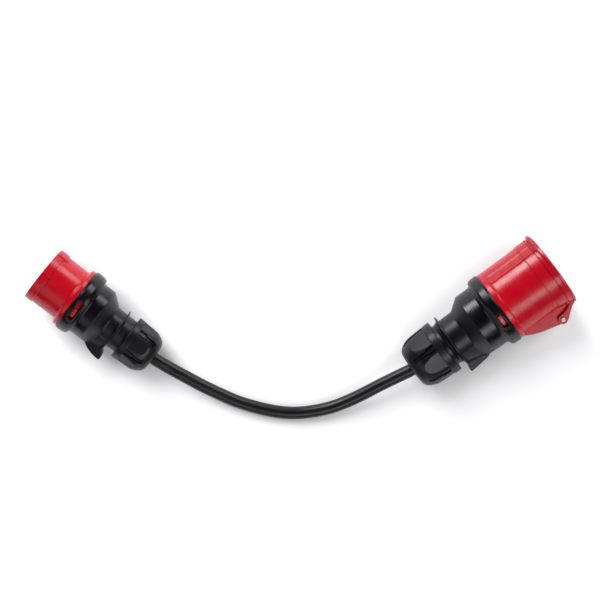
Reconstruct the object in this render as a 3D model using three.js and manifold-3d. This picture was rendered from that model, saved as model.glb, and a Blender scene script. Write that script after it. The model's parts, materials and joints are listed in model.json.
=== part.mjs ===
// Adapter lead: a five-pole 16 A plug and a five-pole 32 A connector on one short cable.
// Millimetres, +Z up. The lead lies on the plane z = 0.
//
// Each device is built about its own axis: local +Y runs from the front face to the cable,
// local +Z is the side that faces up, and a clock angle is measured about +Y from up towards +X.
import * as THREE from 'three';
import { mergeVertices } from 'three/addons/utils/BufferGeometryUtils.js';
import Module from 'manifold-3d';

const wasm = await Module();
wasm.setup();

// ---------------------------------------------------------------- driving dimensions

const GAP = 0.3;
const POLES = 5;
const ROUND = 32;
const SMALL_ROUND = 10;

const CABLE_RADIUS = 6.5;
const CABLE_STEPS = 24;
const CORE_RADIUS = 1.8;
const CORE_CIRCLE = 3.5;
const CORE_STEPS = 8;

// Half lengths, along the axis, of the window in the collar and of the latch inside it.
const WINDOW_HALF = 2.4;
const LATCH_HALF = 2.2;

// Plug, from its front rim (y = 0) to the mouth of its gland nut.
const PLUG = {
  rim: 29.0, rimLength: 8.2, shroud: 28.1, bore: 25.4, bowl: 38, seat: 38.6,
  flange: 32.8, flangeFront: 37.0, flangeRear: 40.8,
  collar: 34.4, collarTail: 32.9, collarRear: 54.2, body: 28.9, shoulder: 67.4, neck: 18.5, neckStart: 80,
  thread: 18.5,
  ring: 22.9, ringFront: 90.6, ringThick: 1.5, neckRear: 118,
  nutFront: 103, nutRim: 24.0, nutRimLength: 6, nutBody: 23.7, nutTaper: 124, nutRear: 137,
  pinCircle: 15, pin: 2.5, earthPin: 3.5, pinTip: 5, barrel: 4.2, barrelRear: 62,
  key: -78, jacketEnd: 85, windowFrom: -8, windowTo: 30, windowMid: 48.0, latchFrom: 9, latchTo: 26,
  fin: 98, panel: -6,
};

// Connector, from its front plane (y = 0, just behind the lid face) to its gland mouth.
const CONNECTOR = {
  lidFront: -1.4, lidRim: 39.3, lidSkirt: 37, lidRear: 6.1, mouth: 3, spigot: 33.9,
  bore: 33, band: 36.4, bandRear: 17.4, shell: 35.5, flange: 37.6, flangeFront: 58.5, flangeRear: 63.2,
  carrier: 27.3, carrierFront: 11, carrierStep: 46, seat: 50,
  collar: 38.7, collarTail: 37.8, collarRear: 74.6, body: 32.9, shoulder: 92.5, neck: 23.4,
  neckStart: 105.5, ring: 28.8, ringFront: 120.4, ringThick: 1.7, thread: 22.7, neckRear: 146,
  nutFront: 129.6, nutRim: 28.5, nutRimLength: 7.2, nutBody: 27.5, nutTaper: 156.6, nutRear: 168.8,
  pinCircle: 17, sleeveBore: 3.1, earthBore: 4.1, sleeveWall: 1.5, barrelRear: 68, jacketEnd: 108,
  key: 77, keyHalf: 17.5, windowFrom: -27, windowTo: -2.5, windowMid: 69.2, latchFrom: -24, latchTo: -5,
  lockMark: -33.5, fin: -98, panel: -15,
  hinge: -98, hingeY: 20.7, hingeRadius: 45.7, knuckle: 4.8, hingePin: 1.6,
};

// Where each device lies: front centre on the plan, direction of its axis, and the two
// circles that it rests on, the edge of its collar and the tail of its gland nut.
const PLUG_PLACE = { x: -254.25, y: 37.97, heading: -128.42, restRadius: 23.06 };
const CONNECTOR_PLACE = { x: 248.15, y: 42.57, heading: 126.57, restRadius: 26.9 };

// Route of the cable's middle line from the plug's gland to the connector's: it slopes down to lie
// on the plane for a short stretch and rises again.
const CABLE_ROUTE = [
  [-147.7, -46.54, 21.14], [-145.35, -48.4, 20.73], [-137.0, -53.7, 19.2], [-129.1, -58.4, 17.5],
  [-113.2, -67.4, 14.8], [-97.2, -76.2, 12.3], [-81.1, -84.1, 9.9], [-64.9, -91.3, 8.1],
  [-48.7, -96.6, 7.0], [-32.4, -100.7, 6.6], [-16.0, -103.2, 6.6], [0.3, -103.4, 6.8],
  [16.6, -101.3, 7.6], [32.9, -97.4, 9.2], [49.1, -91.0, 11.8], [65.1, -83.1, 15.0],
  [81.2, -74.3, 18.6], [97.4, -66.0, 22.2], [105.1, -62.1, 23.8], [111.05, -59.14, 25.0],
  [113.44, -57.37, 25.38],
];

// ---------------------------------------------------------------- materials

const finish = (color, roughness, metalness = 0) =>
  new THREE.MeshStandardMaterial({ color, roughness, metalness });

const FINISHES = {
  red: () => finish(0xb8121f, 0.38),
  black: () => finish(0x1d1d20, 0.5),
  grey: () => finish(0x3c3d40, 0.55),
  rubber: () => finish(0x17171a, 0.75),
  jacket: () => finish(0x141416, 0.6),
  brass: () => finish(0xb99a55, 0.3, 1),
  nickel: () => finish(0xb9b7ae, 0.28, 1),
  steel: () => finish(0x9b9da0, 0.32, 1),
};

const CORE_COLOURS = [0x2e7d32, 0x6d4c33, 0x151515, 0x8a8d91, 0x1f4fa3];

// ---------------------------------------------------------------- solids

const radians = THREE.MathUtils.degToRad;

// A body of revolution about Y from a closed outline of [radius, y] corners.
function turned(outline, segments = ROUND) {
  const area = outline.reduce((sum, [r, y], i) => {
    const [nextR, nextY] = outline[(i + 1) % outline.length];
    return sum + r * nextY - nextR * y;
  }, 0);
  const corners = area > 0 ? [...outline] : [...outline].reverse();
  const onAxis = corners.findIndex(([r], i) => r === 0 && corners.at(i - 1)[0] === 0);
  if (onAxis > 0) corners.push(...corners.splice(0, onAxis));
  if (onAxis < 0) corners.push(corners[0]);
  return new THREE.LatheGeometry(corners.map(([r, y]) => new THREE.Vector2(r, y)), segments);
}

// A plain round bar along Y.
const bar = (radius, from, to, segments = ROUND) =>
  turned([[0, from], [radius, from], [radius, to], [0, to]], segments);

// A plate whose outline is [radius, y] corners, centred on the plane through the axis at a clock angle.
function radialPlate(corners, thickness, clock) {
  const shape = new THREE.Shape(corners.map(([r, y]) => new THREE.Vector2(r, y)));
  const plate = new THREE.ExtrudeGeometry(shape, { depth: thickness, bevelEnabled: false });
  plate.translate(0, 0, -thickness / 2);
  return plate.rotateY(radians(clock - 90));
}

// A block bounded by two radii, two y values and two clock angles.
function arcBlock(inner, outer, from, to, clockFrom, clockTo, steps = 6) {
  const edge = (radius, clock) => new THREE.Vector2(radius * Math.sin(clock), -radius * Math.cos(clock));
  const angles = Array.from({ length: steps + 1 }, (_, i) =>
    radians(clockFrom + (clockTo - clockFrom) * i / steps));
  const outline = [...angles.map((a) => edge(outer, a)), ...angles.reverse().map((a) => edge(inner, a))];
  const shape = new THREE.Shape(outline);
  const block = new THREE.ExtrudeGeometry(shape, { depth: to - from, bevelEnabled: false });
  return block.rotateX(-Math.PI / 2).translate(0, from, 0);
}

// A round bar that lies along a radius at a clock angle.
function radialBar(radius, inner, outer, y, clock, segments = SMALL_ROUND) {
  const rod = new THREE.CylinderGeometry(radius, radius, outer - inner, segments);
  rod.rotateZ(-Math.PI / 2).translate((inner + outer) / 2, y, 0);
  return rod.rotateY(radians(clock - 90));
}

// A box with its middle at [radius, y], turned to a clock angle.
function radialBox(radial, along, across, radius, y, clock) {
  const box = new THREE.BoxGeometry(radial, along, across);
  return box.translate(radius, y, 0).rotateY(radians(clock - 90));
}

// A bar that crosses the axis direction: along the tangent at a clock angle, centred on [radius, y].
function acrossBar(radius, halfLength, [r, y], clock) {
  const rod = new THREE.CylinderGeometry(radius, radius, 2 * halfLength, SMALL_ROUND);
  return rod.rotateX(Math.PI / 2).translate(r, y, 0).rotateY(radians(clock - 90));
}

function toSolid(geometry) {
  const bare = geometry.clone();
  for (const name of ['normal', 'uv']) bare.deleteAttribute(name);
  const merged = mergeVertices(bare, 1e-4);
  const index = merged.index.array;
  const triangles = [];
  for (let i = 0; i < index.length; i += 3) {
    const [a, b, c] = [index[i], index[i + 1], index[i + 2]];
    if (a !== b && b !== c && c !== a) triangles.push(a, b, c);
  }
  const mesh = new wasm.Mesh({
    numProp: 3,
    vertProperties: new Float32Array(merged.attributes.position.array),
    triVerts: new Uint32Array(triangles),
  });
  return new wasm.Manifold(mesh);
}

// Joins the first list of shapes, then cuts the second list away.
function shaped(joined, cut = []) {
  const whole = joined.map(toSolid).reduce((sum, solid) => sum.add(solid));
  const result = cut.map(toSolid).reduce((sum, solid) => sum.subtract(solid), whole);
  return toGeometry(result);
}

function toGeometry(solid) {
  const mesh = solid.getMesh();
  const geometry = new THREE.BufferGeometry();
  geometry.setAttribute('position', new THREE.BufferAttribute(mesh.vertProperties, 3));
  geometry.setIndex(new THREE.BufferAttribute(mesh.triVerts, 1));
  geometry.computeVertexNormals();
  return geometry;
}

function addPiece(group, name, geometry, material) {
  const mesh = new THREE.Mesh(geometry, material);
  mesh.name = name;
  group.add(mesh);
}

// ---------------------------------------------------------------- pieces that both devices share

// Rear housing: collar, round body, cone, thin ring, threaded neck, latch window and a thumb fin,
// which is a flat blade on a wider root.
function rearHousing(d, walls, blade, root, extras = []) {
  const { collarBore, collarFloor, bodyBore, neckBore } = walls;
  const front = d.flangeRear + GAP;
  const ringRear = d.ringFront + d.ringThick;
  const threadFront = d.nutFront + 5;
  const skin = turned([
    [0, front], [d.collar, front],
    [d.collarTail, d.collarRear - 0.6], [d.collarTail - 0.6, d.collarRear],
    [d.body, d.collarRear + 1.6], [d.body, d.shoulder], [d.neck, d.neckStart], [d.neck, d.ringFront],
    [d.ring, d.ringFront + 0.2], [d.ring, ringRear - 0.2], [d.thread, ringRear],
    [d.thread, threadFront], [d.thread - 0.6, threadFront + 0.6], [d.thread - 0.6, threadFront + 1.6],
    [d.thread, threadFront + 2.2], [d.thread, d.neckRear], [0, d.neckRear],
  ]);
  const hollow = turned([
    [0, front - 1], [collarBore, front - 1], [collarBore, collarFloor], [bodyBore, collarFloor],
    [bodyBore, d.shoulder + 0.6], [neckBore, d.neckStart + 1.6],
    [neckBore, d.neckRear + 1], [0, d.neckRear + 1],
  ]);
  const window = arcBlock(bodyBore, d.collar + 2,
    d.windowMid - WINDOW_HALF, d.windowMid + WINDOW_HALF, d.windowFrom, d.windowTo);
  const fin = [radialPlate(blade, 13, d.fin), radialPlate(root, 22, d.fin)];
  return shaped([skin, ...fin, ...extras], [hollow, window]);
}

// Gland nut: plain rim, six broad flats with notched grooves between them, domed tail.
function glandNut(d, threadBore) {
  const end = d.nutRear;
  const dome = turned([
    [0, d.nutFront + 1], [d.nutRim - 0.3, d.nutFront + 1],
    [d.nutRim - 0.6, (d.nutFront + d.nutTaper) / 2], [d.nutBody - 0.5, d.nutTaper],
    [d.nutBody - 1.6, d.nutTaper + (end - d.nutTaper) * 0.5],
    [d.nutBody - 4, d.nutTaper + (end - d.nutTaper) * 0.85], [d.nutBody - 7.5, end], [0, end],
  ]);
  const acrossCorners = (d.nutBody - 0.7) / Math.cos(Math.PI / 6);
  const hexagon = new THREE.CylinderGeometry(acrossCorners, acrossCorners, end - d.nutFront + 4, 6);
  hexagon.rotateY(radians(d.panel + 30)).translate(0, (end + d.nutFront) / 2, 0);
  const body = toGeometry(toSolid(dome).intersect(toSolid(hexagon)));
  const rim = turned([
    [0, d.nutFront], [d.nutRim, d.nutFront], [d.nutRim, d.nutFront + d.nutRimLength],
    [0, d.nutFront + d.nutRimLength],
  ]);
  const mouth = CABLE_RADIUS + 0.7;
  const bore = turned([
    [0, d.nutFront - 1], [threadBore, d.nutFront - 1], [threadBore, d.neckRear + 4],
    [mouth + 5, end - 6], [mouth, end - 3], [mouth, end + 1], [0, end + 1],
  ]);
  const grooves = Array.from({ length: 6 }, (_, i) =>
    radialBox(2.2, d.nutTaper - d.nutFront - d.nutRimLength + 4, 2.2,
      d.nutBody - 0.4, (d.nutTaper + d.nutFront + d.nutRimLength) / 2 + 3, d.panel + 30 + 60 * i));
  return shaped([body, rim], [bore, ...grooves]);
}

// Strain-relief cage: a ring with six sprung fingers round the grommet, which the nut closes.
function clampCage(g) {
  const cone = turned([
    [g.tail + GAP, g.step + GAP], [g.outer, g.step + GAP], [g.outer, g.bend], [g.tip + 3, g.end],
    [g.tip + GAP, g.end], [g.tail + GAP, g.bend],
  ], 24);
  const slotFrom = g.step + GAP + 3.5;
  const slots = [0, 60, 120].map((clock) =>
    radialBox(2 * g.outer + 4, g.end + 2 - slotFrom, 1.8, 0, (g.end + 2 + slotFrom) / 2, clock));
  return shaped([cone], slots);
}

// Rubber grommet: a sleeve on the cable with a shoulder that seals in the neck.
const grommet = (g) => turned([
  [CABLE_RADIUS + GAP, g.front], [g.outer, g.front], [g.outer, g.step], [g.tail, g.step],
  [g.tail, g.bend], [g.tip, g.end - 1], [CABLE_RADIUS + GAP, g.end - 1],
], 24);

// Clamping screw of a terminal: round head with a driver slot, standing on a radius.
function terminalScrew(inner, outer, y, clock) {
  const shank = radialBar(1.7, inner, outer - 1.6, y, clock, 8);
  const head = radialBar(2.6, outer - 1.8, outer, y, clock, 8);
  return shaped([shank, head], [radialBox(1.6, 6, 0.8, outer - 0.1, y, clock)]);
}

// A barrel terminal has a blind bore for the core and a radial hole for its screw.
const barrelCuts = (circle, barrel, rear, screwY, clock) => {
  const angle = radians(clock);
  const bore = bar(CORE_RADIUS + 2 * GAP, rear - 11, rear + 1, 8);
  bore.translate(circle * Math.sin(angle), 0, circle * Math.cos(angle));
  return [bore, radialBar(2.0, circle, circle + barrel + 2, screwY, clock, 8)];
};

// Wire core from its terminal on the pole circle to its place inside the cable jacket.
function core(circle, from, to, clock) {
  const angle = radians(clock);
  const at = (radius, y) => new THREE.Vector3(radius * Math.sin(angle), y, radius * Math.cos(angle));
  const span = to - from;
  const path = new THREE.CubicBezierCurve3(
    at(circle, from), at(circle, from + span * 0.65),
    at(CORE_CIRCLE, to - span * 0.5), at(CORE_CIRCLE, to));
  const section = new THREE.Shape().absarc(0, 0, CORE_RADIUS, 0, Math.PI * 2);
  return new THREE.ExtrudeGeometry(section, { steps: CORE_STEPS, curveSegments: 3, extrudePath: path });
}

// Torsion spring: three turns of wire about the hinge pin, with a leg on the shell.
function torsionSpring(d, hinge) {
  const turns = 3;
  const coil = 2.9;
  const wire = 0.45;
  const pitch = 1.6;
  class Helix extends THREE.Curve {
    getPoint(t, target = new THREE.Vector3()) {
      const angle = turns * 2 * Math.PI * t;
      return target.set(coil * Math.cos(angle), coil * Math.sin(angle), pitch * turns * (t - 0.5));
    }
  }
  const section = new THREE.Shape().absarc(0, 0, wire, 0, Math.PI * 2);
  const path = { steps: 24, curveSegments: 3, extrudePath: new Helix() };
  const spring = new THREE.ExtrudeGeometry(section, path);
  return spring.translate(hinge[0], hinge[1], 0).rotateY(radians(d.hinge - 90));
}

const poleClocks = (key) => Array.from({ length: POLES }, (_, i) => key + (360 / POLES) * i);
const POLE_NAMES = ['earth', 'l1', 'l2', 'l3', 'neutral'];

function placed(geometry, circle, clock) {
  const angle = radians(clock);
  return geometry.translate(circle * Math.sin(angle), 0, circle * Math.cos(angle));
}

// ---------------------------------------------------------------- plug

function buildPlug() {
  const d = PLUG;
  const plug = new THREE.Group();
  const clocks = poleClocks(d.key);
  const pinRadius = (i) => (i === 0 ? d.earthPin : d.pin);
  const spigot = 30.6;
  const walls = { collarBore: 32.2, collarFloor: 53.4, bodyBore: 26.6, neckBore: 15.9 };

  // Shroud with the rim lug that keys the plug, and the spigot inside the collar.
  const bowl = turned([
    [d.bore, 0], [d.rim - 0.5, 0], [d.rim, 0.8],
    [d.rim, d.rimLength - 0.4], [d.shroud + 0.2, d.rimLength],
    [d.shroud - 0.1, 30], [d.shroud + 0.3, d.flangeFront - 2.5], [d.flange - 0.4, d.flangeFront],
    [d.flange, d.flangeFront + 0.6], [d.flange, d.flangeRear], [spigot, d.flangeRear],
    [spigot, d.flangeRear + 9], [spigot - 3, d.flangeRear + 9], [spigot - 3, d.seat], [d.bore, d.seat],
  ]);
  const lug = arcBlock(d.shroud - 1, d.rim + 0.5, 0.6, d.rimLength + 2.8, d.key - 19, d.key + 19);
  const tab = arcBlock(d.shroud - 1, d.shroud + 0.9,
    d.rimLength + 1, d.rimLength + 4.4, d.key + 13, d.key + 19, 2);
  const latchPocket = arcBlock(spigot - 5, spigot + 2, d.windowMid - 2.8, d.flangeRear + 10,
    d.latchFrom - 1, d.latchTo + 1);
  addPiece(plug, 'plug_shroud', shaped([bowl, lug, tab], [latchPocket]), FINISHES.red());

  // Pin carrier: a stepped plate on the shroud's seat, with a hole for each pin.
  const plate = turned([
    [0, d.bowl], [d.bore - GAP, d.bowl], [d.bore - GAP, d.seat + GAP], [spigot - 3 - GAP, d.seat + GAP],
    [spigot - 3 - GAP, d.flangeRear + 1], [0, d.flangeRear + 1],
  ]);
  const pinHoles = clocks.map((clock, i) =>
    placed(bar(pinRadius(i) + GAP, d.bowl - 1, d.flangeRear + 3, 12), d.pinCircle, clock));
  addPiece(plug, 'plug_pin_carrier', shaped([plate], pinHoles), FINISHES.grey());

  clocks.forEach((clock, i) => {
    const radius = pinRadius(i);
    const plateRear = d.flangeRear + 1 + GAP;
    const pin = placed(turned([
      [0, d.pinTip], [radius - 1.4, d.pinTip], [radius - 0.4, d.pinTip + 0.8], [radius, d.pinTip + 2.4],
      [radius, plateRear], [d.barrel, plateRear], [d.barrel, d.barrelRear], [0, d.barrelRear],
    ], 12), d.pinCircle, clock);
    const cuts = barrelCuts(d.pinCircle, d.barrel, d.barrelRear, 56, clock);
    addPiece(plug, `plug_pin_${POLE_NAMES[i]}`, shaped([pin], cuts), FINISHES.nickel());
    addPiece(plug, `plug_terminal_screw_${POLE_NAMES[i]}`,
      terminalScrew(d.pinCircle + CORE_RADIUS + GAP, 22.2, 56, clock), FINISHES.steel());
    const wire = FINISHES.jacket();
    wire.color.setHex(CORE_COLOURS[i]);
    addPiece(plug, `plug_core_${POLE_NAMES[i]}`,
      core(d.pinCircle, d.barrelRear - 3, d.jacketEnd - GAP, clock), wire);
  });

  const latch = arcBlock(spigot - 3.4, walls.collarBore - GAP,
    d.windowMid - LATCH_HALF, d.windowMid + LATCH_HALF, d.latchFrom, d.latchTo);
  addPiece(plug, 'plug_latch', latch, FINISHES.red());

  const seal = turned([
    [spigot + GAP, d.flangeRear + GAP], [walls.collarBore - GAP, d.flangeRear + GAP],
    [walls.collarBore - GAP, d.flangeRear + 1.7], [spigot + GAP, d.flangeRear + 1.7],
  ]);
  addPiece(plug, 'plug_front_seal', seal, FINISHES.rubber());

  const ringRear = d.ringFront + d.ringThick;
  const blade = [
    [d.neck - 1, d.shoulder + 8], [d.body - 0.8, d.shoulder + 5.5], [31.6, d.shoulder + 11.5],
    [33.6, d.shoulder + 17.5], [34.4, d.ringFront + 4.6], [33.8, d.ringFront + 5.2],
    [29.4, d.ringFront + 5], [25, d.ringFront + 2.6], [d.ring - 1, ringRear], [d.neck - 1, ringRear],
  ];
  const root = [
    [d.neck - 1, d.shoulder + 7], [d.body - 3, d.shoulder + 3.5], [24.4, d.shoulder + 15.6],
    [21.8, d.ringFront + 0.5], [d.neck - 1, d.ringFront + 0.5],
  ];
  addPiece(plug, 'plug_rear_housing', rearHousing(d, walls, blade, root), FINISHES.black());

  const gland = { front: 94, step: 106, bend: 119.5, end: 128, outer: 15.6, tail: 13, tip: 9 };
  addPiece(plug, 'plug_cable_grommet', grommet(gland), FINISHES.rubber());
  addPiece(plug, 'plug_clamp_cage', clampCage(gland), FINISHES.grey());
  addPiece(plug, 'plug_gland_nut', glandNut(d, d.neck + 0.6), FINISHES.black());
  addPiece(plug, 'plug_jacket_tail', bar(CABLE_RADIUS, d.jacketEnd, d.nutRear, 16), FINISHES.jacket());
  return plug;
}

// ---------------------------------------------------------------- connector

function buildConnector() {
  const d = CONNECTOR;
  const connector = new THREE.Group();
  const clocks = poleClocks(d.key);
  const bore = (i) => (i === 0 ? d.earthBore : d.sleeveBore);
  const spigot = 34.4;
  const walls = { collarBore: 35.9, collarFloor: 74.2, bodyBore: 30.4, neckBore: 19.8 };

  // Shell: mouth spigot, front band, barrel, rear flange, keyway ridge and hinge gusset.
  const tube = turned([
    [d.bore, d.mouth], [d.spigot - 0.3, d.mouth], [d.spigot, d.mouth + 0.4], [d.spigot, d.lidRear + GAP],
    [d.band, d.lidRear + GAP], [d.band, d.bandRear],
    [d.shell, d.bandRear + 0.4], [d.shell, d.flangeFront],
    [d.flange, d.flangeFront + 0.8], [d.flange, d.flangeRear], [spigot, d.flangeRear],
    [spigot, d.flangeRear + 10], [spigot - 3, d.flangeRear + 10], [spigot - 3, d.seat], [d.bore, d.seat],
  ]);
  const ridge = arcBlock(d.shell - 1, d.shell + 2, d.lidRear + GAP + 0.6, d.flangeFront + 1,
    d.key - d.keyHalf, d.key + d.keyHalf, 10);
  const foot = d.shell + 1.2;
  const hinge = [d.hingeRadius, d.hingeY];
  const gusset = radialPlate([
    [d.shell - 1.2, d.flangeFront - 1], [foot, d.flangeFront + 0.5], [42.6, 50], [45.6, 40], [48, 31],
    [hinge[0] + d.knuckle - 0.4, hinge[1] + 3], [hinge[0] + d.knuckle, hinge[1]],
    [hinge[0] + 3.4, hinge[1] - 3.4], [hinge[0], hinge[1] - d.knuckle], [hinge[0] - 3.4, hinge[1] - 5.7],
    [40.2, 9.2], [37.4, 7.6], [d.shell - 1.2, 7.6],
  ], 16, d.hinge);
  const springWell = radialBox(12, 13, 8.6, hinge[0], hinge[1], d.hinge);
  const pinHole = acrossBar(d.hingePin + GAP, 20, hinge, d.hinge);
  const clearBore = bar(d.bore, d.mouth - 2, d.seat, ROUND);
  const keyway = arcBlock(d.bore - 2, d.bore + 1.6,
    d.mouth - 1, d.carrierStep - 4, d.key - 9, d.key + 9);
  const latchPocket = arcBlock(spigot - 5, spigot + 2, d.windowMid - 2.8, d.flangeRear + 11,
    d.latchFrom - 1, d.latchTo + 1);
  addPiece(connector, 'connector_shell',
    shaped([tube, ridge, gusset], [clearBore, springWell, pinHole, keyway, latchPocket]),
    FINISHES.red());

  // Contact carrier: round block with five stepped chambers and a flange on the shell's seat.
  const block = turned([
    [0, d.carrierFront], [d.carrier - 0.8, d.carrierFront], [d.carrier, d.carrierFront + 0.8],
    [d.carrier, d.carrierStep], [d.bore - GAP, d.carrierStep], [d.bore - GAP, d.seat - GAP],
    [spigot - 3.4, d.seat - GAP], [spigot - 3.4, d.seat + 2], [9, d.seat + 2], [9, d.carrierFront + 4],
    [0, d.carrierFront + 4],
  ]);
  const chambers = clocks.flatMap((clock, i) => [
    placed(bar(bore(i) + 0.1, d.carrierFront - 1, d.carrierFront + 3, 12), d.pinCircle, clock),
    placed(bar(bore(i) + d.sleeveWall + GAP, d.carrierFront + 2, d.seat + 3, 12), d.pinCircle, clock),
  ]);
  addPiece(connector, 'connector_contact_carrier', shaped([block], chambers), FINISHES.grey());

  clocks.forEach((clock, i) => {
    const outer = bore(i) + d.sleeveWall;
    const front = d.carrierFront + 2 + GAP;
    const sleeve = placed(turned([
      [bore(i), front + 0.6], [outer - 0.5, front], [outer, front + 0.8], [outer, d.barrelRear],
      [0, d.barrelRear], [0, d.seat - 6], [bore(i), d.seat - 6],
    ], 12), d.pinCircle, clock);
    const slit = radialBox(2 * outer + 2, 16, 0.8, d.pinCircle, front + 8 - 0.5, clock);
    const cuts = [slit, ...barrelCuts(d.pinCircle, outer, d.barrelRear, 61, clock)];
    addPiece(connector, `connector_sleeve_${POLE_NAMES[i]}`, shaped([sleeve], cuts), FINISHES.brass());
    addPiece(connector, `connector_terminal_screw_${POLE_NAMES[i]}`,
      terminalScrew(d.pinCircle + CORE_RADIUS + GAP, 25.6, 61, clock), FINISHES.steel());
    const wire = FINISHES.jacket();
    wire.color.setHex(CORE_COLOURS[i]);
    addPiece(connector, `connector_core_${POLE_NAMES[i]}`,
      core(d.pinCircle, d.barrelRear - 3, d.jacketEnd - GAP, clock), wire);
  });

  // Lid: domed disc with a rim, a skirt over the mouth, a finger lip and two hinge ears.
  const cap = turned([
    [0, d.lidFront - 0.8], [20, d.lidFront - 0.6],
    [d.lidRim - 2, d.lidFront], [d.lidRim, d.lidFront + 1],
    [d.lidRim, d.lidFront + 2.6], [d.lidSkirt, d.lidFront + 4], [d.lidSkirt - 0.2, d.lidRear],
    [d.spigot + 1.2, d.lidRear], [d.spigot + 1.2, 1.4], [0, 1.4],
  ]);
  const lip = arcBlock(d.lidRim - 2, d.lidRim + 1.2, 0.4, 1.9, d.hinge + 180 - 16, d.hinge + 180 + 16);
  const ears = [-1, 1].map((side) => {
    const ear = radialPlate([
      [d.lidSkirt - 1.5, d.lidFront + 2.4], [d.lidSkirt + 0.6, d.lidFront + 2.4], [40.4, 6],
      [hinge[0] + 1.2, hinge[1] - 7.4], [hinge[0] + d.knuckle, hinge[1] - 1],
      [hinge[0] + 3.9, hinge[1] + 2.8], [hinge[0], hinge[1] + d.knuckle],
      [hinge[0] - 3.6, hinge[1] + 3.2], [hinge[0] - d.knuckle, hinge[1]],
      [38.4, d.lidRear + 5], [d.lidSkirt - 1.5, d.lidRear - 0.1],
    ], 3, d.hinge);
    const across = new THREE.Vector3(0, 0, side * 9.9).applyAxisAngle(
      new THREE.Vector3(0, 1, 0), radians(d.hinge - 90));
    return ear.translate(across.x, across.y, across.z);
  });
  addPiece(connector, 'connector_lid', shaped([cap, lip, ...ears], [pinHole]), FINISHES.red());

  const gasket = turned([
    [30.5, 1.4 + GAP], [d.spigot + 0.8, 1.4 + GAP],
    [d.spigot + 0.8, d.mouth - GAP], [30.5, d.mouth - GAP],
  ]);
  addPiece(connector, 'connector_lid_gasket', gasket, FINISHES.rubber());
  const pin = acrossBar(d.hingePin, 12, hinge, d.hinge);
  addPiece(connector, 'connector_hinge_pin', pin, FINISHES.steel());
  addPiece(connector, 'connector_lid_spring', torsionSpring(d, hinge), FINISHES.steel());

  const latch = arcBlock(spigot - 3.4, walls.collarBore - GAP,
    d.windowMid - LATCH_HALF, d.windowMid + LATCH_HALF, d.latchFrom, d.latchTo);
  addPiece(connector, 'connector_latch', latch, FINISHES.red());

  const seal = turned([
    [spigot + GAP, d.flangeRear + GAP], [walls.collarBore - GAP, d.flangeRear + GAP],
    [walls.collarBore - GAP, d.flangeRear + 1.7], [spigot + GAP, d.flangeRear + 1.7],
  ]);
  addPiece(connector, 'connector_front_seal', seal, FINISHES.rubber());

  const ringRear = d.ringFront + d.ringThick;
  const blade = [
    [d.neck - 1, d.shoulder + 8], [d.body - 0.8, d.shoulder + 5.5], [34.2, d.shoulder + 12],
    [35.2, d.shoulder + 19], [36.1, d.ringFront + 1.8], [35.6, d.ringFront + 2.5],
    [29, d.ringFront + 2.2], [d.ring - 1, ringRear], [d.neck - 1, ringRear],
  ];
  const root = [
    [d.neck - 1, d.shoulder + 8], [d.body - 2.5, d.shoulder + 3.5], [27.6, d.shoulder + 16],
    [25.6, d.ringFront + 0.5], [d.neck - 1, d.ringFront + 0.5],
  ];
  const mark = radialBar(2.4, d.collar - 2, d.collar + 0.3, d.windowMid, d.lockMark, 12);
  const housing = rearHousing(d, walls, blade, root, [mark]);
  addPiece(connector, 'connector_rear_housing', housing, FINISHES.black());

  const gland = { front: 118, step: 132, bend: 147.5, end: 158, outer: 19.5, tail: 16.6, tip: 10.5 };
  addPiece(connector, 'connector_cable_grommet', grommet(gland), FINISHES.rubber());
  addPiece(connector, 'connector_clamp_cage', clampCage(gland), FINISHES.grey());
  addPiece(connector, 'connector_gland_nut', glandNut(d, d.thread + 0.6), FINISHES.black());
  const tail = bar(CABLE_RADIUS, d.jacketEnd, d.nutRear, 16);
  addPiece(connector, 'connector_jacket_tail', tail, FINISHES.jacket());
  return connector;
}

// The cable jacket between the two gland nuts.
function cableJacket() {
  const route = new THREE.CatmullRomCurve3(CABLE_ROUTE.map((point) => new THREE.Vector3(...point)));
  const section = new THREE.Shape().absarc(0, 0, CABLE_RADIUS, 0, Math.PI * 2);
  const path = { steps: CABLE_STEPS, curveSegments: 5, extrudePath: route };
  return new THREE.ExtrudeGeometry(section, path);
}

// ---------------------------------------------------------------- assembly

// Lays a device on the plane z = 0, tilted so that its collar and its gland nut both touch it.
function layDown(device, d, place) {
  const tilt = Math.atan2(d.collar - place.restRadius, d.nutTaper - d.flangeRear - 1.5);
  device.rotation.set(-tilt, 0, radians(place.heading), 'ZXY');
  device.position.set(place.x, place.y, 0);
  device.updateMatrixWorld(true);
  device.position.z = -new THREE.Box3().setFromObject(device, true).min.z;
  device.updateMatrixWorld(true);
  return device;
}

const assembly = new THREE.Group();
assembly.add(layDown(buildPlug(), PLUG, PLUG_PLACE));
assembly.add(layDown(buildConnector(), CONNECTOR, CONNECTOR_PLACE));
addPiece(assembly, 'cable_jacket', cableJacket(), FINISHES.jacket());

export default assembly;
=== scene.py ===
import json
import math

import bpy
import numpy as np
from mathutils import Matrix, Vector


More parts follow.
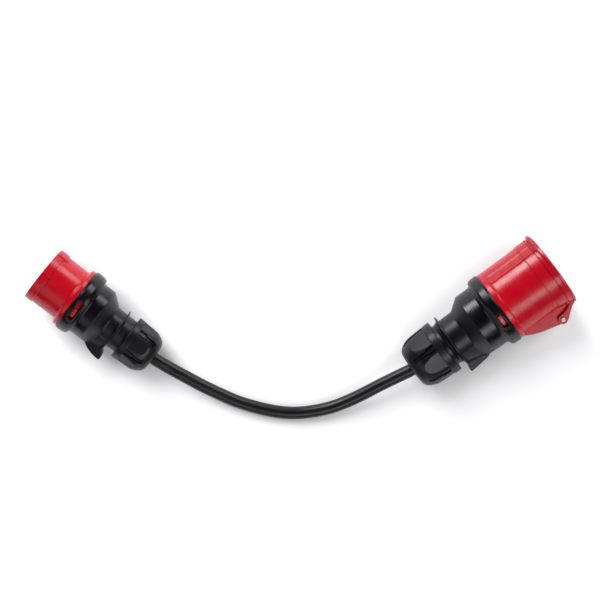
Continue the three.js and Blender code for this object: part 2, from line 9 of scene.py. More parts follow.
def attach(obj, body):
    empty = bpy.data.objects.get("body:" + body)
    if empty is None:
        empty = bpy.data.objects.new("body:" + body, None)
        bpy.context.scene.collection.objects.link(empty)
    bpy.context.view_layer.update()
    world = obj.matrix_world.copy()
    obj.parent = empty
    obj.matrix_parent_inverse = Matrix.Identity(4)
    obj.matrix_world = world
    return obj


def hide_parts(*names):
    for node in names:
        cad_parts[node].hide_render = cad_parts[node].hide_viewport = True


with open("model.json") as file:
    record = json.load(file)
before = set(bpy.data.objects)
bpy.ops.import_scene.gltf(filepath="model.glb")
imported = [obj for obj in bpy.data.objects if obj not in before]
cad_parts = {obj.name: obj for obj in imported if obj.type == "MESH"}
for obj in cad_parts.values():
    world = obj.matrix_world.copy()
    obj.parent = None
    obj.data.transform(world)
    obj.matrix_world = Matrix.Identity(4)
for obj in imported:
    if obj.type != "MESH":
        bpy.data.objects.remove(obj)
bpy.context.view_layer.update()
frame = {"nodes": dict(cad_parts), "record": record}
scene = bpy.context.scene
joints = {j["name"]: j for j in frame["record"]["behaviour"]["joints"]}

# ------------------------------------------------------------------ camera

CAMERA_PLACE = (0.00035, 0.01157, 1.160)
CAMERA_SENSOR_MM = 36
CAMERA_LENS_MM = 67.8
camera = bpy.data.objects.new("camera", bpy.data.cameras.new("camera"))
scene.collection.objects.link(camera)
camera.location = CAMERA_PLACE
camera.data.sensor_width = CAMERA_SENSOR_MM
camera.data.lens = CAMERA_LENS_MM
camera.data.clip_end = 20
scene.camera = camera

# ------------------------------------------------------------------ device frames
# Each device is built about its own axis in millimetres: +Y from its front face to the cable, +Z the
# side that faces up, and clock angles about +Y from up towards +X. The joints give the two frames.

PLUG_TWIST_Y = 48.3
CONNECTOR_TWIST_Y = 69.2


def device_frame(joint_name, sign, joint_y):
    """A device's frame from its twist joint, whose place is joint_y along the device."""
    joint = joints[joint_name]
    axis = sign * Vector(joint["axis"]).normalized()
    origin = Vector(joint["pos_m"]) - axis * joint_y / 1000
    up = (Vector((0, 0, 1)) - axis * axis.z).normalized()
    side = axis.cross(up)
    turn = Matrix((side, axis, up)).transposed().to_4x4()
    return Matrix.Translation(origin) @ turn @ Matrix.Scale(0.001, 4)


PLUG = device_frame("plug_twist", -1, PLUG_TWIST_Y)
CONNECTOR = device_frame("connector_twist", 1, CONNECTOR_TWIST_Y)

# ------------------------------------------------------------------ mesh helpers

SHARP_DEGREES = 38
NEAREST_CLOCKS = 0.08
VOLUME_FACES = 40000
COARSE_BLEND_MM = 1.5
SPLINE_STEPS = 24


def smoothstep(x, low, high):
    t = np.clip((x - low) / (high - low), 0, 1)
    return t * t * (3 - 2 * t)


def band(x, low, high, soft):
    """1 between low and high, falling to 0 over soft outside both."""
    return smoothstep(x, low - soft, low) * (1 - smoothstep(x, high, high + soft))


def turn_between(clock, middle):
    """Signed angle in degrees from middle to clock."""
    return (clock - middle + 180) % 360 - 180


def rounded(corners, step=14.0, support=0.15):
    """A fine closed outline from (u, v, fillet radius) corners, with an arc point every step degrees."""
    points = np.array([c[:2] for c in corners], float)
    radii = [c[2] if len(c) > 2 else 0.0 for c in corners]
    count = len(points)
    made = []
    for i in range(count):
        at = points[i]
        back, ahead = points[i - 1] - at, points[(i + 1) % count] - at
        back_len, ahead_len = np.linalg.norm(back), np.linalg.norm(ahead)
        back, ahead = back / back_len, ahead / ahead_len
        inner = math.acos(max(-1, min(1, float(back @ ahead))))
        if radii[i] <= 0 or inner > math.pi - 0.02:
            made.append(at)
            continue
        reach = min(radii[i] / math.tan(inner / 2), 0.47 * back_len, 0.47 * ahead_len)
        radius = reach * math.tan(inner / 2)
        middle = at + (back + ahead) / np.linalg.norm(back + ahead) * radius / math.sin(inner / 2)
        first, last = at + back * reach, at + ahead * reach
        if reach + support < 0.49 * back_len:
            made.append(first + back * support)
        a0 = math.atan2(*(first - middle)[::-1])
        a1 = math.atan2(*(last - middle)[::-1])
        sweep = (a1 - a0 + math.pi) % (2 * math.pi) - math.pi
        n = max(2, math.ceil(abs(math.degrees(sweep)) / step))
        for k in range(n + 1):
            a = a0 + sweep * k / n
            made.append(middle + radius * np.array([math.cos(a), math.sin(a)]))
        if reach + support < 0.49 * ahead_len:
            made.append(last + ahead * support)
    return np.array(made)


def refine(outline, zones):
    """Splits the closed outline's segments whose second value lies in a (low, high, step) zone."""
    made = []
    count = len(outline)
    for i in range(count):
        a, b = outline[i], outline[(i + 1) % count]
        made.append(a)
        length = np.linalg.norm(b - a)
        steps = [z[2] for z in zones
                 if max(a[1], b[1]) > z[0] and min(a[1], b[1]) < z[1] and abs(b[1] - a[1]) > 1e-6]
        if steps:
            n = max(1, math.ceil(length / min(steps)))
            made.extend(a + (b - a) * k / n for k in range(1, n))
    return np.array(made)


def clocks(step=2.5, edges=(), half=1.6, fine=0.25):
    """Sorted clock angles all round, finer about each of the given edges."""
    angles = set(np.round(np.arange(0, 360, step), 3))
    for edge in edges:
        angles.update(np.round(np.arange(edge - half, edge + half + 0.001, fine) % 360, 3))
    ordered = sorted(angles)
    kept = [ordered[0]]
    for angle in ordered[1:]:
        if angle - kept[-1] > NEAREST_CLOCKS:
            kept.append(angle)
    return np.array(kept)


def add_mesh(name, points, faces, device, material):
    """A mesh in a device's frame, turned outward, with smooth shading up to the sharp angle."""
    points = np.asarray(points, float)
    turn = np.array(device)
    world = points @ turn[:3, :3].T + turn[:3, 3]
    volume = 0.0
    for face in faces[:: max(1, len(faces) // VOLUME_FACES)]:
        a = points[face[0]]
        for k in range(1, len(face) - 1):
            volume += float(a @ np.cross(points[face[k]], points[face[k + 1]]))
    if volume < 0:
        faces = [tuple(reversed(face)) for face in faces]
    mesh = bpy.data.meshes.new(name)
    mesh.from_pydata(world.tolist(), [], [tuple(int(v) for v in face) for face in faces])
    mesh.validate()
    mesh.shade_smooth()
    mesh.set_sharp_from_angle(angle=math.radians(SHARP_DEGREES))
    mesh.materials.append(material)
    piece = bpy.data.objects.new(name, mesh)
    scene.collection.objects.link(piece)
    return piece


def cut_away(piece, tools):
    """Cuts the tools out of a piece, bakes the result into its mesh and removes the tools."""
    for tool in tools:
        cut = piece.modifiers.new("hole", "BOOLEAN")
        cut.operation = "DIFFERENCE"
        cut.solver = "EXACT"
        cut.object = tool
    bpy.context.view_layer.update()
    evaluated = piece.evaluated_get(bpy.context.evaluated_depsgraph_get())
    baked = bpy.data.meshes.new_from_object(evaluated)
    piece.modifiers.clear()
    piece.data = baked
    piece.data.set_sharp_from_angle(angle=math.radians(SHARP_DEGREES))
    for tool in tools:
        bpy.data.objects.remove(tool)


def roughen(piece, device, start):
    """Marks the moulding as coarser from a y value towards the cable; the materials read the mark."""
    back = np.array(device.inverted())
    places = np.array([v.co for v in piece.data.vertices]) @ back[:3, :3].T
    along = places[:, 1] + back[1, 3]
    mark = piece.data.attributes.new("coarse", "FLOAT", "POINT")
    mark.data.foreach_set("value", smoothstep(along, start, start + COARSE_BLEND_MM))
    return piece


def revolve(outline, angles, shape=None):
    """Points and faces of a closed outline of (radius, y) turned about the axis; shape may move them."""
    rows, cols = len(outline), len(angles)
    radius = np.repeat(outline[:, :1], cols, axis=1)
    along = np.repeat(outline[:, 1:], cols, axis=1)
    clock = np.repeat(angles[None, :], rows, axis=0)
    if shape is not None:
        radius, along = shape(radius, along, clock)
    a = np.radians(clock)
    grid = np.stack([radius * np.sin(a), along, radius * np.cos(a)], axis=-1).reshape(-1, 3)
    on_axis = [i for i in range(rows) if outline[i, 0] < 1e-6]
    index = np.arange(rows * cols).reshape(rows, cols)
    faces = []
    for i in range(rows):
        k = (i + 1) % rows
        if i in on_axis and k in on_axis:
            continue
        for j in range(cols):
            m = (j + 1) % cols
            if i in on_axis:
                faces.append((index[i, 0], index[k, j], index[k, m]))
            elif k in on_axis:
                faces.append((index[i, j], index[i, m], index[k, 0]))
            else:
                faces.append((index[i, j], index[i, m], index[k, m], index[k, j]))
    used = sorted({v for face in faces for v in face})
    order = np.full(len(grid), -1)
    order[used] = np.arange(len(used))
    return grid[used], [tuple(order[v] for v in face) for face in faces]


def turned(name, corners, device, material, zones=(), edges=(), shape=None, step=2.5, half=1.6, fine=0.25):
    """A piece made by turning rounded corners about the device's axis."""
    outline = refine(rounded(corners), zones)
    points, faces = revolve(outline, clocks(step, edges, half, fine), shape)
    return add_mesh(name, points, faces, device, material)


def spline(points, count, closed=False):
    """Evenly spaced points on a Catmull-Rom curve."""
    pts = np.asarray(points, float)
    if closed:
        ring = np.vstack([pts[-1:], pts, pts[:2]])
    else:
        ring = np.vstack([2 * pts[0] - pts[1], pts, 2 * pts[-1] - pts[-2]])
    dense = []
    for p0, p1, p2, p3 in zip(ring[:-3], ring[1:-2], ring[2:-1], ring[3:]):
        for t in np.linspace(0, 1, SPLINE_STEPS, endpoint=False):
            dense.append(0.5 * (2 * p1 + (p2 - p0) * t + (2 * p0 - 5 * p1 + 4 * p2 - p3) * t * t
                                + (3 * p1 - p0 - 3 * p2 + p3) * t ** 3))
    dense.append(pts[0] if closed else pts[-1])
    dense = np.array(dense)
    travelled = np.concatenate([[0], np.cumsum(np.linalg.norm(np.diff(dense, axis=0), axis=1))])
    at = np.linspace(0, travelled[-1], count, endpoint=not closed)
    return np.stack([np.interp(at, travelled, dense[:, k]) for k in range(dense.shape[1])], axis=-1)


def inset(outline, amount):
    """The closed outline moved inward by amount."""
    ahead = np.roll(outline, -1, axis=0) - outline
    ahead /= np.linalg.norm(ahead, axis=1, keepdims=True) + 1e-12
    behind = np.roll(ahead, 1, axis=0)
    area = np.sum(outline[:, 0] * np.roll(outline[:, 1], -1) - np.roll(outline[:, 0], -1) * outline[:, 1])
    side = 1 if area > 0 else -1
    normal = side * np.stack([-(ahead + behind)[:, 1], (ahead + behind)[:, 0]], axis=-1)
    normal /= np.linalg.norm(normal, axis=1, keepdims=True) + 1e-12
    cosine = np.clip(np.sum(normal * side * np.stack([-ahead[:, 1], ahead[:, 0]], axis=-1), axis=1), 0.5, 1)
    return outline + normal * (amount / cosine)[:, None]


def skin(rings, count):
    """Faces between rings of count points each, with the first and the last ring closed."""
    faces = []
    for i in range(rings - 1):
        for j in range(count):
            m = (j + 1) % count
            faces.append((i * count + j, i * count + m, (i + 1) * count + m, (i + 1) * count + j))
    faces.append(tuple(range(count))[::-1])
    faces.append(tuple(range((rings - 1) * count, rings * count)))
    return faces


def plate(outline, low, high, fillet):
    """Points and faces of a plate with a (radius, y) outline between two heights, edges rounded."""
    turns = np.radians(np.linspace(0, 90, 6))
    bend = [(fillet * (1 - math.cos(a)), fillet * (1 - math.sin(a))) for a in turns]
    rings = [(inset(outline, fillet + 0.25), low)]
    rings += [(inset(outline, inward), low + rise) for inward, rise in bend[::-1]]
    rings += [(outline, low + fillet + (high - low - 2 * fillet) * t) for t in (0.02, 0.5, 0.98)]
    rings += [(inset(outline, inward), high - rise) for inward, rise in bend]
    rings.append((inset(outline, fillet + 0.25), high))
    points = [(r, y, height) for ring, height in rings for r, y in ring]
    return np.array(points, float), skin(len(rings), len(outline))


def at_clock(points, clock):
    """Turns (radius, y, across) points to a clock angle."""
    a = math.radians(clock)
    r, y, across = points[:, 0], points[:, 1], points[:, 2]
    x = r * math.sin(a) - across * math.cos(a)
    z = r * math.cos(a) + across * math.sin(a)
    return np.stack([x, y, z], axis=-1)


def merged(parts):
    """Several (points, faces) parts as one."""
    points, faces, offset = [], [], 0
    for part_points, part_faces in parts:
        points.append(part_points)
        faces.extend(tuple(v + offset for v in face) for face in part_faces)
        offset += len(part_points)
    return np.vstack(points), faces


def moved(part, circle, clock):
    """A part about the axis moved out to a circle at a clock angle."""
    a = math.radians(clock)
    points, faces = part
    return points + np.array([circle * math.sin(a), 0, circle * math.cos(a)]), faces


def round_bar(radius, low, high, fillet, segments=40):
    """A round bar along Y with rounded ends."""
    outline = rounded([(0, low), (radius, low, fillet), (radius, high, fillet), (0, high)])
    return revolve(outline, np.linspace(0, 360, segments, endpoint=False))


def tube(path, radius, segments=12):
    """A round tube along a path, with closed ends."""
    ahead = np.gradient(path, axis=0)
    ahead /= np.linalg.norm(ahead, axis=1, keepdims=True)
    first = np.cross(ahead[0], (0.3, 0.5, 0.8))
    across = first / np.linalg.norm(first)
    points = []
    for point, direction in zip(path, ahead):
        across = across - direction * (across @ direction)
        across /= np.linalg.norm(across)
        other = np.cross(direction, across)
        for k in range(segments):
            a = 2 * math.pi * k / segments
            points.append(point + radius * (math.cos(a) * across + math.sin(a) * other))
    return np.array(points), skin(len(path), segments)


def across_bar(radius, low, high, r, y, clock, fillet):
    """A round bar along the tangent at a clock angle."""
    points, faces = round_bar(radius, low, high, fillet, segments=32)
    local = np.stack([points[:, 0] + r, points[:, 2] + y, points[:, 1]], axis=-1)
    return at_clock(local, clock), faces


# ------------------------------------------------------------------ materials


IOR = 1.48
ROUGH_SPREAD = 0.06
COARSE_ROUGHER = 0.11
GRAIN_DEPTH = 0.0002
WAVE_DEPTH = 0.002


def shader(name, color, roughness, metallic=0.0, grain=2600.0, grain_bump=0.06, wave=0.0, edge=0.0,
           tint_of_shine=(1, 1, 1)):
    """A moulded or plated surface: fine grain, patches of shine, paler edges and slow waves."""
    material = bpy.data.materials.new(name)
    material.use_nodes = True
    nodes, links = material.node_tree.nodes, material.node_tree.links
    surface = nodes["Principled BSDF"]
    surface.inputs["Metallic"].default_value = metallic
    surface.inputs["IOR"].default_value = IOR
    surface.inputs["Specular Tint"].default_value = (*tint_of_shine, 1)
    where = nodes.new("ShaderNodeTexCoord")
    fine = nodes.new("ShaderNodeTexNoise")
    fine.inputs["Scale"].default_value = grain
    fine.inputs["Detail"].default_value = 3
    links.new(where.outputs["Object"], fine.inputs["Vector"])
    patch = nodes.new("ShaderNodeTexNoise")
    patch.inputs["Scale"].default_value = 90
    patch.inputs["Detail"].default_value = 4
    links.new(where.outputs["Object"], patch.inputs["Vector"])
    spread = nodes.new("ShaderNodeMapRange")
    spread.inputs["From Min"].default_value = 0.3
    spread.inputs["From Max"].default_value = 0.7
    spread.inputs["To Min"].default_value = roughness - ROUGH_SPREAD
    spread.inputs["To Max"].default_value = roughness + ROUGH_SPREAD
    links.new(patch.outputs["Fac"], spread.inputs["Value"])
    coarse = nodes.new("ShaderNodeAttribute")
    coarse.attribute_name = "coarse"
    rougher = nodes.new("ShaderNodeMath")
    rougher.operation = "MULTIPLY_ADD"
    rougher.inputs[1].default_value = COARSE_ROUGHER
    links.new(coarse.outputs["Fac"], rougher.inputs[0])
    links.new(spread.outputs["Result"], rougher.inputs[2])
    links.new(rougher.outputs["Value"], surface.inputs["Roughness"])
    tint = nodes.new("ShaderNodeMix")
    tint.data_type = "RGBA"
    tint.inputs[6].default_value = (*color, 1)
    worn = [min(1.0, c * 1.35 + 0.02) for c in color]
    tint.inputs[7].default_value = (*worn, 1)
    geometry = nodes.new("ShaderNodeNewGeometry")
    edges = nodes.new("ShaderNodeMapRange")
    edges.inputs["From Min"].default_value = 0.53
    edges.inputs["From Max"].default_value = 0.66
    edges.inputs["To Min"].default_value = 0.0
    edges.inputs["To Max"].default_value = edge
    links.new(geometry.outputs["Pointiness"], edges.inputs["Value"])
    links.new(edges.outputs["Result"], tint.inputs[0])
    links.new(tint.outputs[2], surface.inputs["Base Color"])
    bump = nodes.new("ShaderNodeBump")
    bump.inputs["Strength"].default_value = grain_bump
    bump.inputs["Distance"].default_value = GRAIN_DEPTH
    links.new(fine.outputs["Fac"], bump.inputs["Height"])
    links.new(bump.outputs["Normal"], surface.inputs["Normal"])
    if wave:
        slow = nodes.new("ShaderNodeTexNoise")
        slow.inputs["Scale"].default_value = 55
        slow.inputs["Detail"].default_value = 1
        links.new(where.outputs["Object"], slow.inputs["Vector"])
        ripple = nodes.new("ShaderNodeBump")
        ripple.inputs["Strength"].default_value = wave
        ripple.inputs["Distance"].default_value = WAVE_DEPTH
        links.new(slow.outputs["Fac"], ripple.inputs["Height"])
        links.new(ripple.outputs["Normal"], bump.inputs["Normal"])
    return material


RED = shader("red_plastic", (0.61, 0.0022, 0.0155), 0.27, wave=0.05, edge=0.25, grain_bump=0.05)
BLACK = shader("black_plastic", (0.0024, 0.0022, 0.0042), 0.27, wave=0.05, edge=0.20, grain_bump=0.08,
               tint_of_shine=(0.92, 0.90, 1.0))
GREY = shader("grey_plastic", (0.035, 0.036, 0.039), 0.5, edge=0.2)
SEAL = shader("seal_rubber", (0.010, 0.010, 0.010), 0.7, grain_bump=0.15)
JACKET = shader("cable_rubber", (0.0045, 0.0045, 0.0052), 0.36, grain=1500, grain_bump=0.20, wave=0.10)
NICKEL = shader("nickel_plate", (0.60, 0.58, 0.54), 0.26, 1.0, grain=3500, grain_bump=0.03)
BRASS = shader("brass", (0.66, 0.46, 0.20), 0.3, 1.0, grain=3500, grain_bump=0.03)
STEEL = shader("steel", (0.36, 0.33, 0.33), 0.36, 1.0, grain=3500, grain_bump=0.04)
# each pole's core: its slot and its colour
CORE_LOOKS = {
    "earth": ("core_green", (0.05, 0.30, 0.06)),
    "l1": ("core_brown", (0.15, 0.06, 0.03)),
    "l2": ("core_black", (0.01, 0.01, 0.01)),
    "l3": ("core_grey", (0.25, 0.25, 0.26)),
    "neutral": ("core_blue", (0.02, 0.10, 0.40)),
}
CORES = {pole: shader(slot, color, 0.45) for pole, (slot, color) in CORE_LOOKS.items()}
POLES = tuple(CORE_LOOKS)


def keep_cad(node, material):
    """A hidden inner piece is shown by its CAD node with this material."""
    piece = frame["nodes"][node]
    piece.data.materials.clear()
    piece.data.materials.append(material)


def piece_of(piece, body, slot, *nodes):
    """Attaches a piece to the body it rides on and hides the CAD nodes it stands in for; slot is not used.
    """
    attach(piece, body)
    if nodes:
        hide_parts(*nodes)
    return piece


# ------------------------------------------------------------------ shared shapes

FIN_THICKNESS = 13
FIN_FILLET = 0.6
POCKET_DEPTH = 2.8
CONTACT_CLOCKS = np.linspace(0, 360, 48, endpoint=False)

THREAD_PITCH = 3.5
THREAD_DEPTH = 0.9


def thread(along, clock, low, high):
    """A right-hand screw thread's height between two y values."""
    phase = (along / THREAD_PITCH - clock / 360) % 1
    ridge = smoothstep(phase, 0.12, 0.36) * (1 - smoothstep(phase, 0.56, 0.80))
    return THREAD_DEPTH * ridge * band(along, low + 1.5, high - 1.5, 1.5)


def nut_corners(front, rim_length, taper, rear, apothem, rim, bore, mouth):
    """Outline of a gland nut: a plain rim, then a dome that falls from the rim's radius to the tail."""
    start = front + rim_length
    tail = rear - taper
    return [
        (bore, front, 0.3), (rim, front, 0.7), (rim, start, 0.4), (rim - 0.25, start + 0.15, 0.1),
        (rim - 0.5, (start + taper) / 2, 30), (apothem + 0.5, taper - 1, 14),
        (apothem - 0.9, taper + 0.3 * tail, 8), (apothem - 4.0, taper + 0.78 * tail, 5),
        (apothem - 7.4, rear, 2.4), (mouth, rear, 0.8), (mouth, rear - 3, 1), (bore, rear - 9, 1),
    ]


def nut_shape(front, rim_length, taper, rear, apothem, panel):
    """Six flats that leave arches on the dome, with ribbed grooves between them, wide and then narrow."""
    start = front + rim_length + 0.8
    middle = start + (taper - start) * 0.48

    def shape(radius, along, clock):
        outside = smoothstep(radius, apothem - 9, apothem - 7)
        nearest = (clock - panel + 30) % 60 - 30
        flat = apothem / np.cos(np.radians(nearest))
        trimmed = np.where((along > start - 0.3) & (outside > 0), np.minimum(radius, flat), radius)
        arc = np.radians(30 - np.abs(nearest)) * apothem
        wide = band(along, start + 0.4, middle, 0.35)
        thin = band(along, middle, taper + (rear - taper) * 0.4, 0.35)
        groove = wide * (1 - smoothstep(arc, 3.0, 3.5)) + thin * (1 - smoothstep(arc, 1.7, 2.1))
        rib = wide * (1 - smoothstep(arc, 1.6, 2.0)) + thin * (1 - smoothstep(arc, 0.55, 0.85))
        sunk = trimmed - 1.9 * np.clip(groove, 0, 1) * outside
        return sunk + 1.1 * np.clip(rib, 0, 1) * outside, along

    return shape


def nut_edges(panel, apothem):
    """Clock angles of the sides of the six grooves and their ribs."""
    at = [math.degrees(a / apothem) for a in (0.7, 1.85, 3.3)]
    return [panel + 30 + 60 * i + sign * a for i in range(6) for a in at for sign in (-1, 1)]


def fin_flare(fin_clock, stations):
    """How far the cone and the neck swell out towards the fin, from (y, swell) stations."""
    places, swells = zip(*stations)

    def flare(along, clock):
        away = np.abs(turn_between(clock, fin_clock))
        fall = np.clip((away - 11) / 42, 0, 1)
        return np.interp(along, places, swells) * (1 - fall) ** 1.7

    return flare


def window_distance(middle, half, first, last, collar):
    """How far a place on a collar lies outside a round-ended window."""

    def distance(along, clock):
        arc = np.radians(turn_between(clock, (first + last) / 2)) * collar
        half_arc = math.radians(last - first) / 2 * collar - half
        return np.hypot(np.maximum(np.abs(arc) - half_arc, 0), along - middle) - half

    return distance


def window_tool(device, middle, half, first, last, collar, low, high):
    """The round-ended block that cuts a window through a collar's wall."""
    angles = np.linspace(first, last, 61)
    arc = np.radians(np.minimum(angles - first, last - angles)) * collar
    reach = np.sqrt(np.maximum(half ** 2 - np.maximum(half - arc, 0) ** 2, 0.01))
    points = []
    for angle, tall in zip(np.radians(angles), reach):
        bottom, top = middle - tall, middle + tall
        for r, y in ((low, bottom), (high, bottom), (high, top), (low, top)):
            points.append((r * math.sin(angle), y, r * math.cos(angle)))
    return add_mesh("cutter", points, skin(len(angles), 4), device, BLACK)


def window_rim(distance, outside):
    """Height of the low lip round a window, and depth of the chamfer at its edge."""
    lip = 0.35 * np.exp(-((distance - 0.9) / 0.5) ** 2) * outside
    chamfer = 0.6 * (1 - smoothstep(distance, -0.3, 0.35)) * outside
    return lip, chamfer


def latch_piece(name, device, inner, outer, middle, half, first, last):
    """The tab in a collar's window: an arched block with rounded edges."""
    angles = np.linspace(first, last, 60)
    outline = rounded([(inner, middle - half, 0.3), (outer, middle - half, 0.6),
                       (outer, middle + half, 0.6), (inner, middle + half, 0.3)])
    points = []
    for a in angles:
        rise = min(1, min(a - first, last - a) / 1.2)
        pull = (1 - math.sqrt(max(0.0, 1 - (1 - rise) ** 2))) * 0.7
        for r, y in outline:
            out = (r - inner) / (outer - inner)
            lower = r - pull * out
            points.append((lower * math.sin(math.radians(a)), y, lower * math.cos(math.radians(a))))
    return add_mesh(name, points, skin(len(angles), len(outline)), device, RED)


def window_edges(window):
    """Clock angles across a window's round ends."""
    _, half, first, last, collar = window
    start, stop = first + math.degrees(half / collar), last - math.degrees(half / collar)
    return list(np.linspace(first, start, 5)) + list(np.linspace(stop, last, 5))


def housing_parts(profile, fin, fin_clock, zones, edges, shape):
    """A rear housing: the turned body with its thumb fin."""
    outline = refine(rounded(profile), zones)
    body = revolve(outline, clocks(edges=edges), shape)
    blade, faces = plate(fin, -FIN_THICKNESS / 2, FIN_THICKNESS / 2, FIN_FILLET)
    return merged([body, (at_clock(blade, fin_clock), faces)])


# ------------------------------------------------------------------ plug

KEY_P = -78
PLUG_FIN_CLOCK = 98
PLUG_POLE_CIRCLE = 15
KEY_RADIUS = 29.75
plug_poles = [KEY_P + 72 * i for i in range(5)]


def plug_front_shape(radius, along, clock):
    """The keying lug on the rim with a nib behind it, and the latch's pocket in the spigot."""
    away = np.abs(turn_between(clock, KEY_P))
    outside = smoothstep(radius, 27.2, 27.8)
    lug = band(along, 0.9, 10.8, 0.35) * (1 - smoothstep(away, 18.3, 19.4))
    tab = band(along, 10.8, 12.8, 0.35) * band(turn_between(clock, KEY_P), 13.4, 18.2, 0.9)
    taller = radius + (KEY_RADIUS - radius) * np.clip(lug, 0, 1) * (radius < KEY_RADIUS)
    raised = np.where(lug * outside > 0, taller, radius)
    raised = np.where(tab * outside > 0, np.maximum(raised, radius + 0.95 * tab * outside), raised)
    pocket = band(along, 45.4, 60, 0.2) * band(turn_between(clock, 17.5), -9, 13, 0.5)
    return raised - POCKET_DEPTH * pocket * smoothstep(radius, 30, 30.4), along


shroud = turned(
    "plug_shroud_shell",
    [(25.4, 38.6), (25.4, 0, 0.5), (29.0, 0, 0.7), (29.0, 8.1, 0.35), (28.3, 8.4, 0.2), (28.0, 31),
     (28.3, 35.2, 1.6), (32.3, 37.0, 0.9), (32.8, 40.8, 0.5), (30.6, 40.8), (30.6, 49.8, 0.4),
     (27.6, 49.8, 0.3), (27.6, 38.6)],
    PLUG, RED, zones=[(0, 16, 0.3), (44.6, 49.9, 0.3)],
    edges=[KEY_P - 19, KEY_P + 19, KEY_P + 13, KEY_P + 18.4, 8, 31], shape=plug_front_shape)
piece_of(shroud, "plug_front", "red_plastic", "plug_shroud")

plate_parts = [revolve(rounded([(0, 38), (23.4, 38, 0.3), (23.8, 37.3, 0.3), (25.0, 37.3, 0.3),
                                (25.1, 38.9), (27.3, 38.9), (27.3, 41.8), (0, 41.8)]), clocks(3))]
for i, pole in enumerate(POLES):
    boss = 5.6 if pole == "earth" else 4.4
    plate_parts.append(moved(round_bar(boss, 37.0, 39.0, 0.35), PLUG_POLE_CIRCLE, plug_poles[i]))
plate_parts.append(round_bar(4.0, 37.2, 39.0, 0.4))
pin_plate = add_mesh("plug_pin_plate", *merged(plate_parts), PLUG, GREY)
piece_of(pin_plate, "plug_front", "grey_plastic", "plug_pin_carrier")

for i, pole in enumerate(POLES):
    radius = 3.5 if pole == "earth" else 2.5
    pin = revolve(rounded([(0, 5), (radius - 0.7, 5, 1.1), (radius, 7.4, 2.5), (radius, 42.2),
                           (4.2, 42.2, 0.4), (4.2, 62, 0.5), (0, 62)]), CONTACT_CLOCKS)
    pin = moved(pin, PLUG_POLE_CIRCLE, plug_poles[i])
    pin = add_mesh(f"plug_contact_pin_{pole}", *pin, PLUG, NICKEL)
    piece_of(pin, "plug_front", "nickel_plate", f"plug_pin_{pole}")
    keep_cad(f"plug_terminal_screw_{pole}", STEEL)
    keep_cad(f"plug_core_{pole}", CORES[pole])

tab = latch_piece("plug_latch_tab_cover", PLUG, inner=29.6, outer=31.9, middle=48.0,
                  half=2.1, first=9, last=26)
piece_of(tab, "plug_latch_tab", "red_plastic", "plug_latch")


# y of the middle, half height, first and last clock angle, radius of the collar
PLUG_WINDOW = (48.0, 2.5, -8, 30, 34.0)
plug_window = window_distance(*PLUG_WINDOW)
plug_flare = fin_flare(PLUG_FIN_CLOCK, [(67.4, 0), (70, 2.3), (75.6, 6.6), (80, 8.0), (83, 7.8),
                                        (88, 6.4), (91.2, 5.2), (92.2, 0)])


def plug_collar(radius, along, clock):
    """The window's rim, the nut's thread, and the swell of the cone and neck towards the fin."""
    lip, chamfer = window_rim(plug_window(along, clock), smoothstep(radius, 32.6, 33.0))
    ribs = thread(along, clock, 104, 117) * smoothstep(radius, 17.0, 17.2)
    swell = plug_flare(along, clock) * smoothstep(radius, 17.2, 18.2)
    return radius - chamfer + lip + ribs + swell, along


PLUG_FIN = rounded(
    [(16, 75), (27.6, 72.6, 3), (31.0, 78.0, 8), (33.4, 84.5, 14), (34.3, 90.5, 14), (34.4, 95.5, 0.5),
     (31.5, 95.9, 3), (28.2, 95.2, 3), (24.9, 92.6, 3), (19, 91.9), (16, 91.9)], step=8)
housing = housing_parts(
    [(32.0, 41.1), (33.5, 41.1, 0.5), (34.3, 43.4, 1.6), (34.3, 44.6, 3), (34.0, 50.0, 3),
     (33.1, 52.3, 1.0), (32.4, 53.9, 0.6), (29.7, 54.5, 0.7), (28.9, 56.2, 0.8), (28.9, 67.4, 0.7),
     (18.7, 79.8, 2.5), (18.5, 90.5, 0.4), (22.9, 90.8, 0.3), (22.9, 91.8, 0.3), (18.8, 92.4, 1.4),
     (18.5, 103, 0.3), (17.6, 104), (17.6, 118, 0.8), (15.9, 118, 0.3), (15.9, 81.6), (26.6, 68),
     (26.6, 53.4), (32.0, 53.4)],
    PLUG_FIN, PLUG_FIN_CLOCK, [(44.5, 51.5, 0.25), (67, 93, 0.6), (103, 118, 0.3)],
    window_edges(PLUG_WINDOW), plug_collar)
housing = add_mesh("plug_rear_housing_shell", *housing, PLUG, BLACK)
cut_away(housing, [window_tool(PLUG, *PLUG_WINDOW, low=31, high=37)])
housing = roughen(housing, PLUG, start=67)
piece_of(housing, "root", "black_plastic", "plug_rear_housing")

NUT_P = dict(front=103, rim_length=6, taper=126.5, rear=137, apothem=22.5)
NUT_P_PANEL = -6
nut = turned("plug_gland_nut_cap", nut_corners(rim=24.0, bore=19.1, mouth=7.2, **NUT_P), PLUG, BLACK,
             zones=[(109.3, 133, 0.35)], edges=nut_edges(NUT_P_PANEL, NUT_P["apothem"]),
             half=0.8, fine=0.2, step=1.0, shape=nut_shape(panel=NUT_P_PANEL, **NUT_P))
piece_of(roughen(nut, PLUG, start=90), "plug_nut", "black_plastic", "plug_gland_nut")

# ------------------------------------------------------------------ connector

KEY_C = 77
HINGE = -98
CONNECTOR_FIN_CLOCK = -98
CONNECTOR_POLE_CIRCLE = 17
KEYWAY_EDGES = [KEY_C - 33, KEY_C - 21]
hinge_place = CONNECTOR.inverted() @ Vector(joints["lid_hinge"]["pos_m"])
HINGE_R, HINGE_Y = math.hypot(hinge_place.x, hinge_place.z), hinge_place.y
connector_poles = [KEY_C + 72 * i for i in range(5)]
SLEEVE_BORES = {pole: 4.1 if pole == "earth" else 3.1 for pole in POLES}


